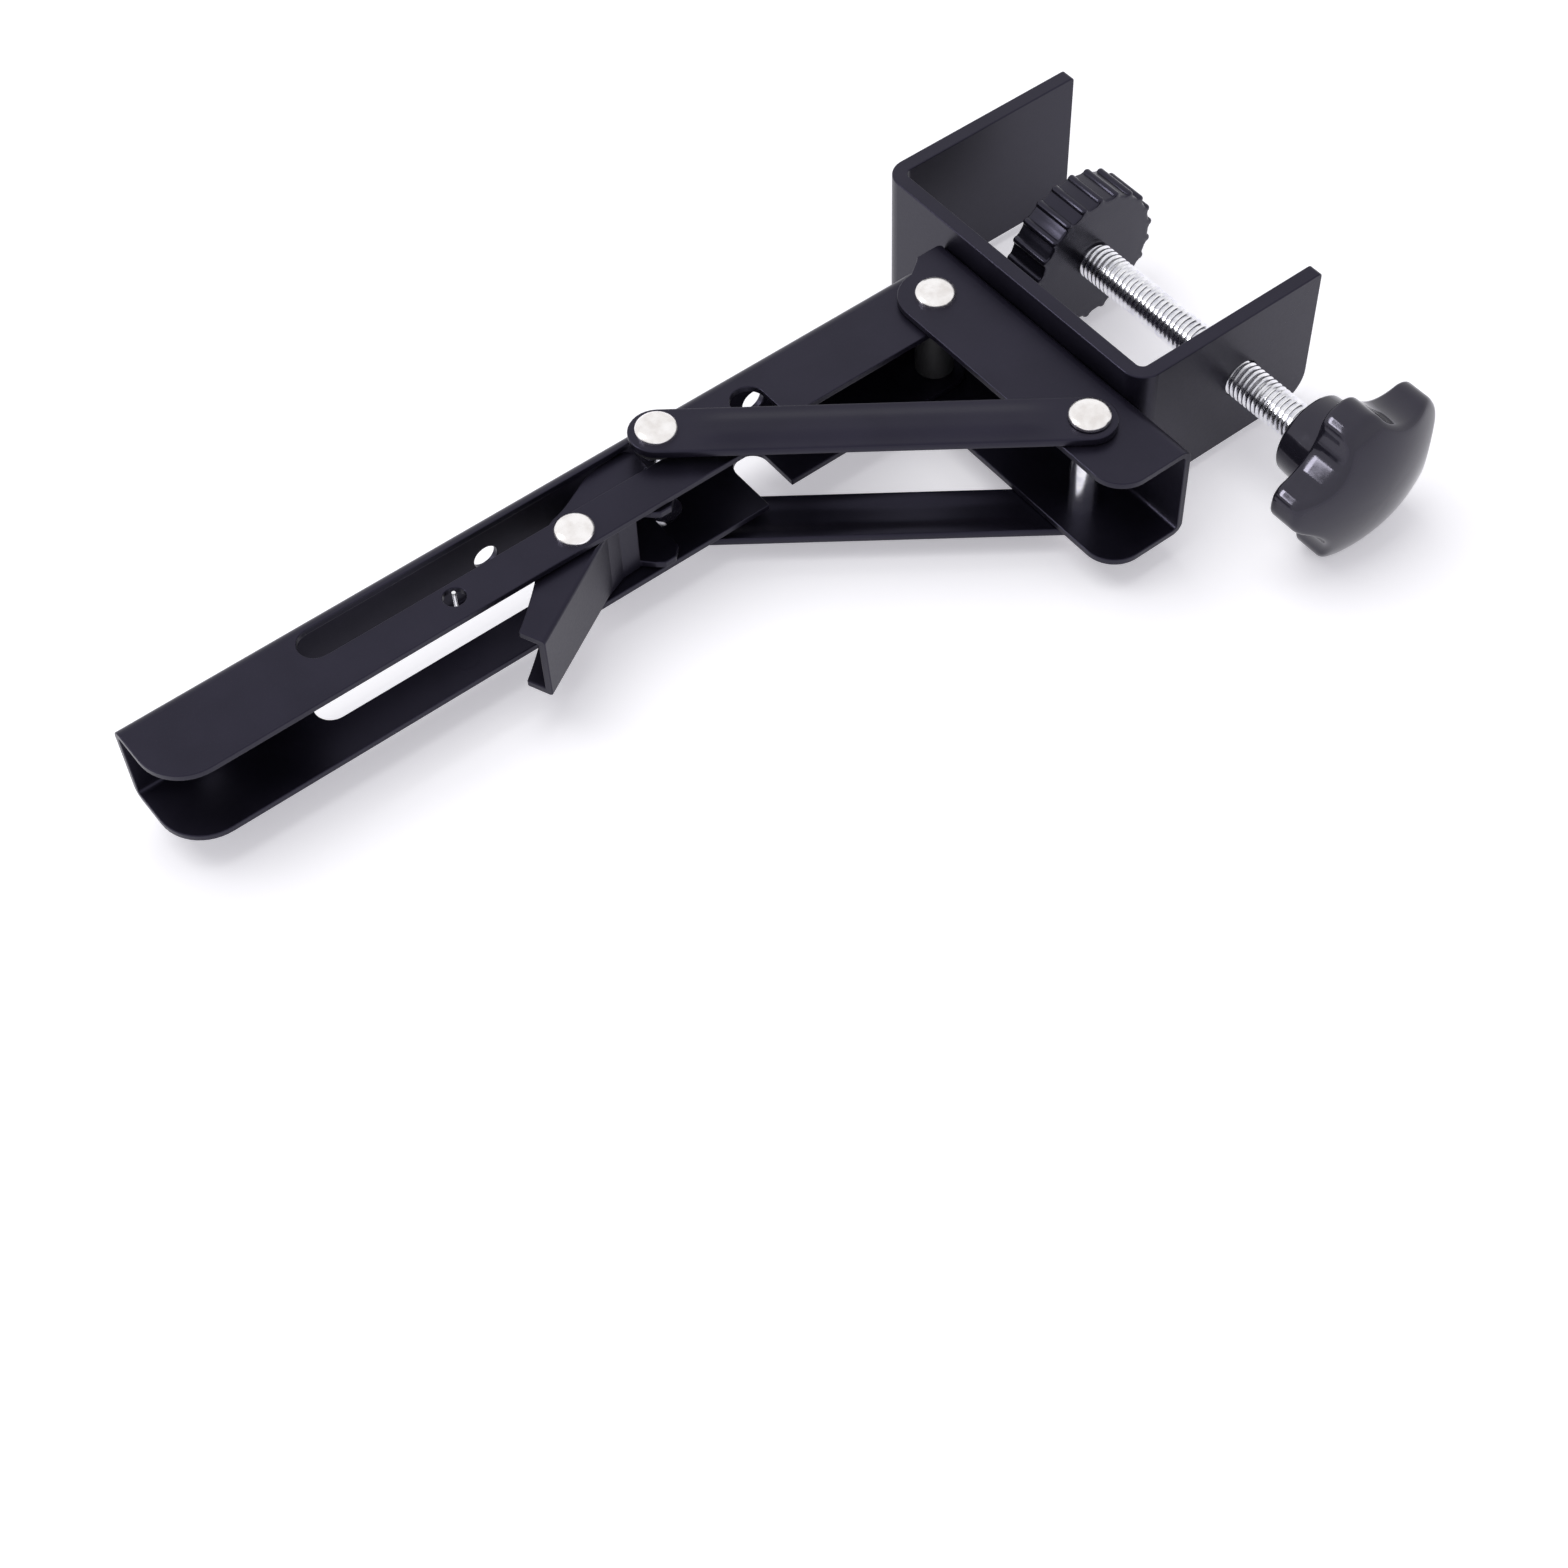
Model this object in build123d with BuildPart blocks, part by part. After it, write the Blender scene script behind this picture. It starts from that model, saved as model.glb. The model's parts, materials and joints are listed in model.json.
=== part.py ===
from build123d import *
from math import asin, atan2, cos, degrees, hypot, radians, sin, sqrt
import os

os.makedirs("parts", exist_ok=True)

# Folding bracket that clamps to a desk edge and carries a keyboard tray.
# Millimetres, +Z up as used. The origin is on the underside of the upper clamp
# jaw, over the clamp screw. The arm reaches out along -X when it is open.

# Bent sheet of the arm and wall channels
channel_sheet = 1.8
channel_bend = 1.2
moving_gap = 0.3

# Arm channel, its sizes measured from the arm pivot
arm_width = 24.8
arm_length = 226.6
arm_web_above = 13.0
arm_edge_below = 10.5
arm_near_edge_below = 7.8
arm_tail = 8.0
arm_tail_round = 7.5
arm_tip_round = 12.0
tray_hole_first = 49.0
tray_hole_step = 80.0
tray_hole_count = 3
tray_hole_d = 6.5

# Slot that the upper ends of the struts run in
slot_start = 77.4
slot_end = 182.7
slot_width = 9.1
slot_above = 5.0

# Wall channel, fixed to the clamp
wall_back = 13.8
wall_flange_out = 9.5
wall_below = 78.0
wall_above = 13.3
wall_head_from = 5.0
wall_foot_round = 8.5

# Struts
strut_drop = 57.0
strut_width = 14.0
strut_sheet = 2.3
rib_width = 6.0
rib_height = 0.8
rib_end_margin = 12.0

# Rivets, sleeves and rollers
rivet_r = 3.0
rivet_head_r = 5.2
rivet_head_h = 2.3
lever_rivet_r = 2.5
lever_rivet_head_r = 4.9
lever_rivet_head_h = 2.2
pivot_fit = 0.05
sleeve_r = 3.7
arm_sleeve_r = 5.0
notch_width = 9.1
notch_above = 7.2
roller_fit = 0.1
washer_r = 6.3
washer_thick = 0.9

# Release lever
lever_width = 20.0
lever_sheet = 2.0
lever_bend = 1.0
lever_pivot_out = 113.3
lever_pivot_below = 5.0

# Return spring of the lever
spring_wire_r = 0.5
spring_leg_r = 0.48
spring_corner_r = 1.5
spring_coil_r = 3.6
spring_pitch = 1.2
spring_turns = 3
spring_near_w = 6.5
spring_anchor_out = 146.2
spring_anchor_below = 3.8
spring_anchor_hole_d = 5.6
spring_tail = 12.0
spring_past_flange = 1.5

# Clamp plate
clamp_sheet = 4.0
clamp_bend = 2.0
clamp_width = 41.4
clamp_opening = 89.2
clamp_depth = 61.3
lower_jaw_short = 1.5
clamp_corner_round = 1.2
clamp_far_round = 8.0
jaw_above_pivot = 34.0
screw_from_pivot = 49.3

# Screw, pad and knob
screw_r = 5.0
screw_fit = 0.05
pad_r = 18.8
pad_thick = 12.3
pad_edge = 0.8
pad_below_jaw = 26.5
pad_socket = 8.0
ridge_r = 1.1
ridge_count = 22
ridge_turn = 11.0
knob_gap = 23.4
knob_hub_top_r = 11.1
knob_hub_r = 11.8
knob_hub_h = 11.5
knob_r = 24.0
knob_side = 8.3
knob_dome_h = 7.5
knob_lobes = 5
knob_turn = 39.0
knob_valley_r = 17.8
knob_scallop_r = 14.0
knob_lobe_round = 3.5
knob_back_bevel = 0.8
knob_socket = 18.0

# Values that follow from the ones above
wall_width = arm_width + 2 * (moving_gap + channel_sheet)
wall_inside = wall_width / 2 - channel_sheet
arm_inside = arm_width / 2 - channel_sheet
strut_inside = wall_width / 2 + moving_gap
strut_outside = strut_inside + strut_sheet
pin_out = slot_start + slot_width / 2
strut_rise = strut_drop + slot_above
strut_length = hypot(pin_out, strut_rise)
strut_slope = degrees(atan2(strut_rise, pin_out))
roller_r = slot_width / 2 - roller_fit
notch_r = notch_width / 2
notch_out = (strut_drop + sqrt(strut_drop ** 2 - arm_edge_below ** 2)) / 2
pad_bottom = -pad_below_jaw - pad_thick
jaw_bottom = -clamp_opening - clamp_sheet
hub_top = jaw_bottom - knob_gap
knob_back = hub_top - knob_hub_h
knob_rim = knob_back - knob_side
knob_front = knob_rim - knob_dome_h

arm_pivot = Vector(-screw_from_pivot, 0, -jaw_above_pivot)
strut_pivot = arm_pivot + Vector(0, 0, -strut_drop)
strut_pin = arm_pivot + Vector(-pin_out, 0, slot_above)
strut_middle = (strut_pivot + strut_pin) * 0.5
lever_pivot = arm_pivot + Vector(-lever_pivot_out, 0, -lever_pivot_below)
clamp_back = arm_pivot.X + wall_back
clamp_front = clamp_back + clamp_depth

# Side plane through the arm pivot: x runs towards the desk, y runs up, and its
# normal points to the near side of the bracket, at -Y.
side = Plane(origin=arm_pivot, x_dir=(1, 0, 0), z_dir=(0, -1, 0))


def channel_section(plane, width, depth):
    """A U of bent sheet: its web along the x axis of the plane, its legs down to -depth."""
    half = width / 2
    with BuildSketch(plane) as section:
        with BuildLine():
            Polyline(
                (-half, -depth),
                (-half, 0),
                (half, 0),
                (half, -depth),
                (half - channel_sheet, -depth),
                (half - channel_sheet, -channel_sheet),
                (channel_sheet - half, -channel_sheet),
                (channel_sheet - half, -depth),
                close=True,
            )
        make_face()
        fillet(section.vertices().group_by(Axis.Y)[-1], channel_bend + channel_sheet)
        inner = section.vertices().filter_by(
            lambda v: abs(v.Y + channel_sheet) < 0.01 and abs(v.X) < half - channel_sheet + 0.01
        )
        fillet(inner, channel_bend)
    return section.sketch


def rivet_profile(centre, start, grip, shank, head, height):
    """Half section of a domed rivet, lying along the near side axis through its centre."""
    ball = (head ** 2 + height ** 2) / (2 * height)
    half_angle = asin(head / ball) / 2
    middle = (grip + height - ball + ball * cos(half_angle), ball * sin(half_angle))
    with BuildSketch(Plane(origin=centre, x_dir=(0, -1, 0), z_dir=(1, 0, 0))) as profile:
        with BuildLine():
            Polyline((grip + height, 0), (start, 0), (start, shank), (grip, shank), (grip, head))
            ThreePointArc((grip, head), middle, (grip + height, 0))
        make_face()
    return profile.sketch


def cross_axis(centre):
    """The axis through a pivot, from the far side to the near side."""
    return Axis(tuple(centre), (0, -1, 0))


def save(part, name):
    """Label one finished piece and write its file."""
    part.label = name
    export_step(part, "parts/" + name + ".step")


# Clamp plate: one plate bent to a C, its mouth towards +X
with BuildPart() as clamp_plate:
    with BuildSketch(Plane.XZ) as clamp_side:
        with BuildLine():
            Polyline(
                (clamp_front, clamp_sheet),
                (clamp_back, clamp_sheet),
                (clamp_back, jaw_bottom),
                (clamp_front - lower_jaw_short, jaw_bottom),
                (clamp_front - lower_jaw_short, -clamp_opening),
                (clamp_back + clamp_sheet, -clamp_opening),
                (clamp_back + clamp_sheet, 0),
                (clamp_front, 0),
                close=True,
            )
        make_face()
        fillet(clamp_side.vertices().group_by(Axis.X)[0], clamp_bend + clamp_sheet)
        inner = clamp_side.vertices().filter_by(
            lambda v: abs(v.X - clamp_back - clamp_sheet) < 0.01 and -clamp_opening - 0.01 < v.Y < 0.01
        )
        fillet(inner, clamp_bend)
    extrude(amount=clamp_width / 2, both=True)
    low_tips = clamp_plate.edges().filter_by(Axis.Z).group_by(Axis.Z)[0].sort_by(Axis.Y)
    fillet(low_tips[-1], clamp_far_round)
    low_tip = clamp_plate.edges().filter_by(Axis.Z).group_by(Axis.Z)[0].sort_by(Axis.Y)[0]
    fillet(low_tip, clamp_corner_round)
    high_tips = clamp_plate.edges().filter_by(Axis.Z).group_by(Axis.Z)[-1]
    fillet(high_tips, clamp_corner_round)
    # Tapped hole for the screw, through the lower jaw
    with BuildSketch(Plane.XY.offset(jaw_bottom)):
        Circle(screw_r + screw_fit)
    extrude(amount=clamp_sheet, mode=Mode.SUBTRACT)
save(clamp_plate.part, "clamp_plate")


# Wall channel: a U standing against the clamp, open towards the arm
wall_foot = Plane(
    origin=(clamp_back, 0, arm_pivot.Z - wall_below),
    x_dir=(0, -1, 0),
    z_dir=(0, 0, 1),
)
with BuildPart() as wall_channel:
    extrude(
        channel_section(wall_foot, wall_width, wall_back + wall_flange_out),
        amount=wall_below + wall_above,
    )
    # Outline seen from the side: round about the arm pivot, rounded at the foot
    with BuildSketch(side) as wall_outline:
        with BuildLine():
            Polyline(
                (0, wall_flange_out),
                (wall_head_from - 1, wall_above - 1),
                (wall_head_from, wall_above),
                (wall_back, wall_above),
                (wall_back, -wall_below),
                (-wall_flange_out, -wall_below),
                (-wall_flange_out, 0),
            )
            RadiusArc((-wall_flange_out, 0), (0, wall_flange_out), wall_flange_out)
        make_face()
        foot = wall_outline.vertices().group_by(Axis.Y)[0].sort_by(Axis.X)[0]
        fillet(foot, wall_foot_round)
    extrude(amount=wall_width, both=True, mode=Mode.INTERSECT)
    with BuildSketch(side):
        with Locations((0, 0), (0, -strut_drop)):
            Circle(rivet_r + pivot_fit)
    extrude(amount=wall_width, both=True, mode=Mode.SUBTRACT)
save(wall_channel.part, "wall_channel")


# Arm channel: a U nested in the wall channel, its web on top to carry the tray
arm_end = Plane(
    origin=(arm_pivot.X - arm_length, 0, arm_pivot.Z + arm_web_above),
    x_dir=(0, 1, 0),
    z_dir=(1, 0, 0),
)
with BuildPart() as arm_channel:
    extrude(
        channel_section(arm_end, arm_width, arm_web_above + arm_edge_below),
        amount=arm_length + arm_tail,
    )
    with BuildSketch(side) as arm_outline:
        with BuildLine():
            Polyline(
                (arm_tail, arm_web_above),
                (-arm_length, arm_web_above),
                (-arm_length, -arm_edge_below),
                (-notch_out, -arm_edge_below),
                (-notch_out, -arm_near_edge_below),
                (arm_tail, -arm_near_edge_below),
                close=True,
            )
        make_face()
        fillet(arm_outline.vertices().group_by(Axis.X)[-1], arm_tail_round)
        fillet(arm_outline.vertices().group_by(Axis.X)[0].sort_by(Axis.Y)[0], arm_tip_round)
    extrude(amount=arm_width, both=True, mode=Mode.INTERSECT)
    # Pivot, lever rivet and spring anchor holes, slot and notch through both flanges
    with BuildSketch(side):
        Circle(rivet_r + pivot_fit)
        with Locations((-lever_pivot_out, -lever_pivot_below)):
            Circle(lever_rivet_r)
        with Locations((-spring_anchor_out, -spring_anchor_below)):
            Circle(spring_anchor_hole_d / 2)
        with Locations((-(slot_start + slot_end) / 2, slot_above)):
            SlotOverall(slot_end - slot_start, slot_width)
        # The notch drops over the strut pivot sleeve when the arm folds
        with Locations((-notch_out, notch_above - notch_r)):
            Circle(notch_r)
            Rectangle(notch_width, 2 * arm_web_above, align=(Align.CENTER, Align.MAX))
    extrude(amount=arm_width, both=True, mode=Mode.SUBTRACT)
    # Screw holes for the tray, down the middle of the web
    hole_middle = tray_hole_first + tray_hole_step * (tray_hole_count - 1) / 2
    with BuildSketch(Plane.XY.offset(arm_pivot.Z + arm_web_above)):
        with Locations((arm_pivot.X - hole_middle, 0)):
            with GridLocations(tray_hole_step, 1, tray_hole_count, 1):
                Circle(tray_hole_d / 2)
    extrude(amount=-channel_sheet, mode=Mode.SUBTRACT)
save(arm_channel.part, "arm_channel")


# Struts: two flat bars outside the channels, each stiffened by a pressed rib
strut_face = Plane(
    origin=(strut_middle.X, -strut_inside, strut_middle.Z),
    x_dir=(1, 0, 0),
    z_dir=(0, -1, 0),
)
rib_length = strut_length - 2 * rib_end_margin
with BuildPart() as strut_near:
    with BuildSketch(strut_face):
        SlotCenterToCenter(strut_length, strut_width, rotation=180 - strut_slope)
        with Locations((pin_out / 2, -strut_rise / 2), (-pin_out / 2, strut_rise / 2)):
            Circle(rivet_r + pivot_fit, mode=Mode.SUBTRACT)
    extrude(amount=strut_sheet)
    with BuildSketch(strut_face.offset(strut_sheet)):
        SlotOverall(rib_length, rib_width, rotation=180 - strut_slope)
    extrude(amount=rib_height, taper=35)
    with BuildSketch(strut_face):
        SlotOverall(rib_length - 2, rib_width - 2, rotation=180 - strut_slope)
    extrude(amount=rib_height, taper=35, mode=Mode.SUBTRACT)
save(strut_near.part, "strut_near")

with BuildPart() as strut_far:
    mirror(strut_near.part, about=Plane.XZ)
save(strut_far.part, "strut_far")


# Arm pivot: rivet headed on both sides of the wall channel, and its sleeve
with BuildPart() as arm_pivot_rivet:
    revolve(
        rivet_profile(arm_pivot, 0, wall_width / 2, rivet_r, rivet_head_r, rivet_head_h),
        axis=cross_axis(arm_pivot),
    )
    mirror(about=Plane.XZ)
save(arm_pivot_rivet.part, "arm_pivot_rivet")

with BuildPart() as arm_pivot_sleeve:
    with BuildSketch(side):
        Circle(arm_sleeve_r)
        Circle(rivet_r + pivot_fit, mode=Mode.SUBTRACT)
    extrude(amount=arm_inside - moving_gap, both=True)
save(arm_pivot_sleeve.part, "arm_pivot_sleeve")


# Strut pivot: rivet headed outside both struts, and its sleeve inside the wall channel
with BuildPart() as strut_pivot_rivet:
    revolve(
        rivet_profile(
            strut_pivot, 0, strut_outside + moving_gap, rivet_r, rivet_head_r, rivet_head_h
        ),
        axis=cross_axis(strut_pivot),
    )
    mirror(about=Plane.XZ)
save(strut_pivot_rivet.part, "strut_pivot_rivet")

with BuildPart() as strut_pivot_sleeve:
    with BuildSketch(side):
        with Locations((0, -strut_drop)):
            Circle(sleeve_r)
            Circle(rivet_r + pivot_fit, mode=Mode.SUBTRACT)
    extrude(amount=wall_inside, both=True)
save(strut_pivot_sleeve.part, "strut_pivot_sleeve")


# Upper ends of the struts: rivet, washer and slot roller on each side
with BuildPart() as strut_end_rivet_near:
    revolve(
        rivet_profile(
            strut_pin, strut_inside, strut_outside, rivet_r, rivet_head_r, rivet_head_h
        ),
        axis=cross_axis(strut_pin),
    )
save(strut_end_rivet_near.part, "strut_end_rivet_near")

with BuildPart() as strut_end_rivet_far:
    mirror(strut_end_rivet_near.part, about=Plane.XZ)
save(strut_end_rivet_far.part, "strut_end_rivet_far")

washer_outside = strut_inside - moving_gap
washer_inside = washer_outside - washer_thick
with BuildPart() as slot_roller_near:
    with BuildSketch(side.offset(arm_inside)):
        with Locations((-pin_out, slot_above)):
            Circle(roller_r)
    extrude(amount=washer_inside - arm_inside)
save(slot_roller_near.part, "slot_roller_near")

with BuildPart() as slot_roller_far:
    mirror(slot_roller_near.part, about=Plane.XZ)
save(slot_roller_far.part, "slot_roller_far")

with BuildPart() as slot_washer_near:
    with BuildSketch(side.offset(washer_inside)):
        with Locations((-pin_out, slot_above)):
            Circle(washer_r)
    extrude(amount=washer_thick)
save(slot_washer_near.part, "slot_washer_near")

with BuildPart() as slot_washer_far:
    mirror(slot_washer_near.part, about=Plane.XZ)
save(slot_washer_far.part, "slot_washer_far")


# Lever pivot: rivet headed on both sides of the arm, under the struts
with BuildPart() as lever_pivot_rivet:
    revolve(
        rivet_profile(
            lever_pivot, 0, arm_width / 2, lever_rivet_r, lever_rivet_head_r, lever_rivet_head_h
        ),
        axis=cross_axis(lever_pivot),
    )
    mirror(about=Plane.XZ)
save(lever_pivot_rivet.part, "lever_pivot_rivet")


# Release lever: two flanges joined by the web that is bent down as the trigger
trigger_root = (-107.3, -9.2)
trigger_tip = (-136.9, -26.3)
trigger_run = hypot(trigger_tip[0] - trigger_root[0], trigger_tip[1] - trigger_root[1])
lever_lift = lever_sheet * trigger_run / (trigger_root[0] - trigger_tip[0])
with BuildPart() as release_lever:
    with BuildSketch(side) as lever_outline:
        with BuildLine():
            Polyline(trigger_tip, trigger_root, (-103.0, -7.6), (-97.5, -7.2))
            Polyline((-97.5, -7.2), (-95.0, -9.8), (-93.0, -11.3), (-90.0, -11.3), (-87.4, -8.8))
            Polyline((-87.4, -8.8), (-86.7, 8.2), (-88.5, 10.2), (-90.4, 10.4), (-96.6, 10.0))
            Spline((-96.6, 10.0), (-100.1, 9.2), (-104.3, 7.3), (-108.0, 5.4), (-114.0, 3.2))
            Spline((-114.0, 3.2), (-120.5, -1.0), (-127.8, -9.3), (-132.0, -13.4), (-139.7, -19.9))
            Polyline((-139.7, -19.9), trigger_tip)
        make_face()
    extrude(amount=lever_width / 2, both=True)
    # The space between the flanges, above the web and its bend
    with BuildSketch(side):
        with BuildLine():
            Polyline(
                (trigger_tip[0] - 8.66, trigger_tip[1] - 5.0 + lever_lift),
                (trigger_root[0], trigger_root[1] + lever_lift),
                (-103.0, -7.6 + lever_sheet),
                (-97.5, -7.2 + lever_sheet),
                (-97.5, -20.0),
                (-80.0, -20.0),
                (-80.0, 20.0),
                (-160.0, 20.0),
                close=True,
            )
        make_face()
    extrude(amount=lever_width / 2 - lever_sheet, both=True, mode=Mode.SUBTRACT)
    with BuildSketch(side):
        with Locations((-lever_pivot_out, -lever_pivot_below)):
            Circle(lever_rivet_r + pivot_fit)
    extrude(amount=lever_width, both=True, mode=Mode.SUBTRACT)
    folds = release_lever.edges().filter_by(
        lambda e: e.geom_type == GeomType.LINE
        and abs(e.length - trigger_run) < 0.1
        and abs(abs(e.center().Y) - lever_width / 2) < 0.01
    )
    fillet(folds, lever_bend)
save(release_lever.part, "release_lever")


# Return spring: a coil round the lever rivet, one leg on the trigger, the other
# leg out to the small hole in the near flange
coil_start = spring_near_w - (spring_turns + 150 / 360) * spring_pitch
coil_x = Vector(sin(radians(30)), 0, -cos(radians(30)))
coil_plane = Plane(
    origin=lever_pivot + Vector(0, -coil_start, 0), x_dir=tuple(coil_x), z_dir=(0, -1, 0)
)
coil = coil_plane * Helix(spring_pitch, spring_near_w - coil_start, spring_coil_r)
anchor = arm_pivot + Vector(-spring_anchor_out, -spring_near_w, -spring_anchor_below)
leg_end = Vector(anchor.X, -arm_width / 2 - spring_past_flange, anchor.Z)
leg_run = (anchor - (coil @ 1)).normalized()
with BuildPart() as lever_spring:
    with BuildSketch(Plane(origin=coil @ 0, z_dir=coil % 0)):
        Circle(spring_wire_r)
    sweep(path=coil, is_frenet=True)
    with BuildSketch(Plane(origin=coil @ 0, z_dir=tuple((coil % 0) * -1))):
        Circle(spring_leg_r)
    extrude(amount=spring_tail)
    with BuildLine() as long_leg:
        Line(coil @ 1, anchor - leg_run * spring_corner_r)
        TangentArc(
            anchor - leg_run * spring_corner_r,
            anchor + Vector(0, -spring_corner_r, 0),
            tangent=leg_run,
        )
        Line(anchor + Vector(0, -spring_corner_r, 0), leg_end)
    with BuildSketch(Plane(origin=coil @ 1, z_dir=tuple(leg_run))):
        Circle(spring_leg_r)
    sweep(path=long_leg.wires()[0])
save(lever_spring.part, "lever_spring")


# Clamp screw: plain rod, its top in the pad and its foot in the knob
screw_top = pad_bottom + pad_socket - moving_gap
screw_foot = hub_top - knob_socket
with BuildPart() as clamp_screw:
    with BuildSketch(Plane.XY.offset(screw_foot)):
        Circle(screw_r)
    extrude(amount=screw_top - screw_foot)
    chamfer(clamp_screw.edges(), 0.6)
save(clamp_screw.part, "clamp_screw")


# Pad: a thick disc with a ridged rim and a blind socket for the screw
with BuildPart() as clamp_pad:
    with BuildSketch(Plane.XY.offset(pad_bottom)):
        Circle(pad_r)
    extrude(amount=pad_thick)
    chamfer(clamp_pad.edges(), pad_edge)
    with BuildSketch(Plane.XY.offset(pad_bottom + pad_edge)):
        with PolarLocations(pad_r, ridge_count, start_angle=ridge_turn):
            Circle(ridge_r)
    extrude(amount=pad_thick - 2 * pad_edge)
    with BuildSketch(Plane.XY.offset(pad_bottom)):
        Circle(screw_r + screw_fit)
    extrude(amount=pad_socket, mode=Mode.SUBTRACT)
save(clamp_pad.part, "clamp_pad")


# Star knob: a tapering hub and a lobed grip with a high domed front
with BuildPart() as star_knob:
    with BuildSketch(Plane.XY.offset(knob_back)) as star:
        Circle(knob_r)
        with PolarLocations(
            knob_valley_r + knob_scallop_r, knob_lobes, start_angle=knob_turn + 180 / knob_lobes
        ):
            Circle(knob_scallop_r, mode=Mode.SUBTRACT)
        fillet(star.vertices(), knob_lobe_round)
    extrude(amount=knob_front - knob_back)
    # The dome trims the front of the lobes
    ball = (knob_r ** 2 + knob_dome_h ** 2) / (2 * knob_dome_h)
    with BuildSketch(Plane.XZ):
        with BuildLine():
            Polyline((0, knob_front), (0, knob_back), (knob_r, knob_back), (knob_r, knob_rim))
            RadiusArc((knob_r, knob_rim), (0, knob_front), ball)
        make_face()
    revolve(axis=Axis.Z, mode=Mode.INTERSECT)
    chamfer(star_knob.edges().group_by(Axis.Z)[-1], knob_back_bevel)
    with BuildSketch(Plane.XY.offset(hub_top)):
        Circle(knob_hub_top_r)
    with BuildSketch(Plane.XY.offset(knob_back)):
        Circle(knob_hub_r)
    loft()
    with BuildSketch(Plane.XY.offset(hub_top)):
        Circle(screw_r)
    extrude(amount=-knob_socket, mode=Mode.SUBTRACT)
save(star_knob.part, "star_knob")
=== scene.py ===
"""A folding keyboard tray bracket lying on its side on a pale studio floor."""

import json
from math import acos, atan2, cos, pi, radians, sin, sqrt

import bmesh
import bpy
from mathutils import Matrix, Vector


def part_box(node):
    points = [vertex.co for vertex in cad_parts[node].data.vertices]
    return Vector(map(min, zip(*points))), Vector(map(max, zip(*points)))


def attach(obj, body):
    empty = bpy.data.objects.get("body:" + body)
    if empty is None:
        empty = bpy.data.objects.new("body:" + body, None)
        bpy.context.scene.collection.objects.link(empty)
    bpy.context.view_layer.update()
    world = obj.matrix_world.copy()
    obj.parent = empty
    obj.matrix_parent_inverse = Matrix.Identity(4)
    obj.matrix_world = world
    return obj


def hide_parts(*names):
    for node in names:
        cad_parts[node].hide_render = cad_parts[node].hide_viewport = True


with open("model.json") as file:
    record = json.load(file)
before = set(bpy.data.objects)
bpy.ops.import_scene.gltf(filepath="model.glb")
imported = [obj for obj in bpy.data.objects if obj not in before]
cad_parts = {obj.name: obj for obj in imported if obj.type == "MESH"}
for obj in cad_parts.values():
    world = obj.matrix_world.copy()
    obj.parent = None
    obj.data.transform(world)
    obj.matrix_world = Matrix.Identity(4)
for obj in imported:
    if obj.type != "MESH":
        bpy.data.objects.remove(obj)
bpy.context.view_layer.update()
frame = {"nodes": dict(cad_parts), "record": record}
nodes = frame["nodes"]
MM = 0.001

# Sizes of the pieces, in millimetres; turns are in degrees

# Thread of the clamp screw, its form as shares of a pitch with the radius at each
THREAD_PITCH = 1.5
THREAD_CREST = 4.96
THREAD_ROOT = 4.35
THREAD_FORM = ((0.0, THREAD_ROOT), (0.3, THREAD_CREST), (0.58, THREAD_CREST), (0.88, THREAD_ROOT))
THREAD_AROUND = 48

# Star knob
KNOB_TIP = 24.0
KNOB_SCALLOP = 14.0
KNOB_SCALLOP_OUT = 31.8
KNOB_LOBE_ROUND = 5.0
KNOB_LOBES = 5
KNOB_TURN = 39.0
KNOB_DOME = 7.5
KNOB_HUB_TOP = 11.1
KNOB_HUB_FOOT = 11.8
KNOB_HUB_HEIGHT = 11.5
KNOB_HUB_FACE = (4.0, 8.0)
KNOB_HUB_EDGE = 1.0
KNOB_HUB_COVE = 1.2
KNOB_SIDE = 8.3
KNOB_HEM = 1.1
KNOB_BROW = 1.5
KNOB_SIDE_SHARES = (0.25, 0.5, 0.75)
KNOB_DOME_SHARES = (0.92, 0.82, 0.7, 0.57, 0.43, 0.29, 0.15, 0.05)

# Clamp pad
PAD_RADIUS = 18.8
PAD_RIDGE = 1.1
PAD_RIDGES = 22
PAD_TURN = 11.0
PAD_HEM = 0.7
PAD_FACE = (6.0, 12.0, 16.2)
PAD_STEP_OUT = 17.2
PAD_STEP = 0.05
PAD_BACK = (17.0, 12.0, 6.0)

# Rivets, their heads as a drop below the crown with a share of the radius at each
HEAD_SHAPE = (
    (0.0, 0.0),
    (0.05, 0.35),
    (0.14, 0.58),
    (0.28, 0.72),
    (0.52, 0.84),
    (0.85, 0.93),
    (1.2, 0.985),
    (1.55, 1.0),
)
HEAD_FOOT = 0.99
PIVOT_HEAD, PIVOT_SHANK = 2.3, 2.95
LEVER_HEAD, LEVER_SHANK = 2.2, 2.45

# Sleeve on the arm's pivot, in the dark matt finish
SLEEVE_RADIUS = 5.0
SLEEVE_BEVEL = 0.4

# Struts, with the rise of the rib from its edge and its run out at the ends
STRUT_RUN = (-81.95, 62.0)
STRUT_LENGTH = 102.76
STRUT_WIDTH = 14.0
STRUT_SHEET = 2.3
STRUT_EDGE = 0.35
STRUT_RIB = 0.55
RIB_EDGE = 1.2
RIB_RISE = 4.2
RIB_END = 8.0
RIB_RUN_OUT = 9.0
STRUT_FACE = (0.8, 1.6, 2.4, 3.0, 3.6, 4.2, 4.8, 5.6, 6.4, 7.0)

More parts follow.
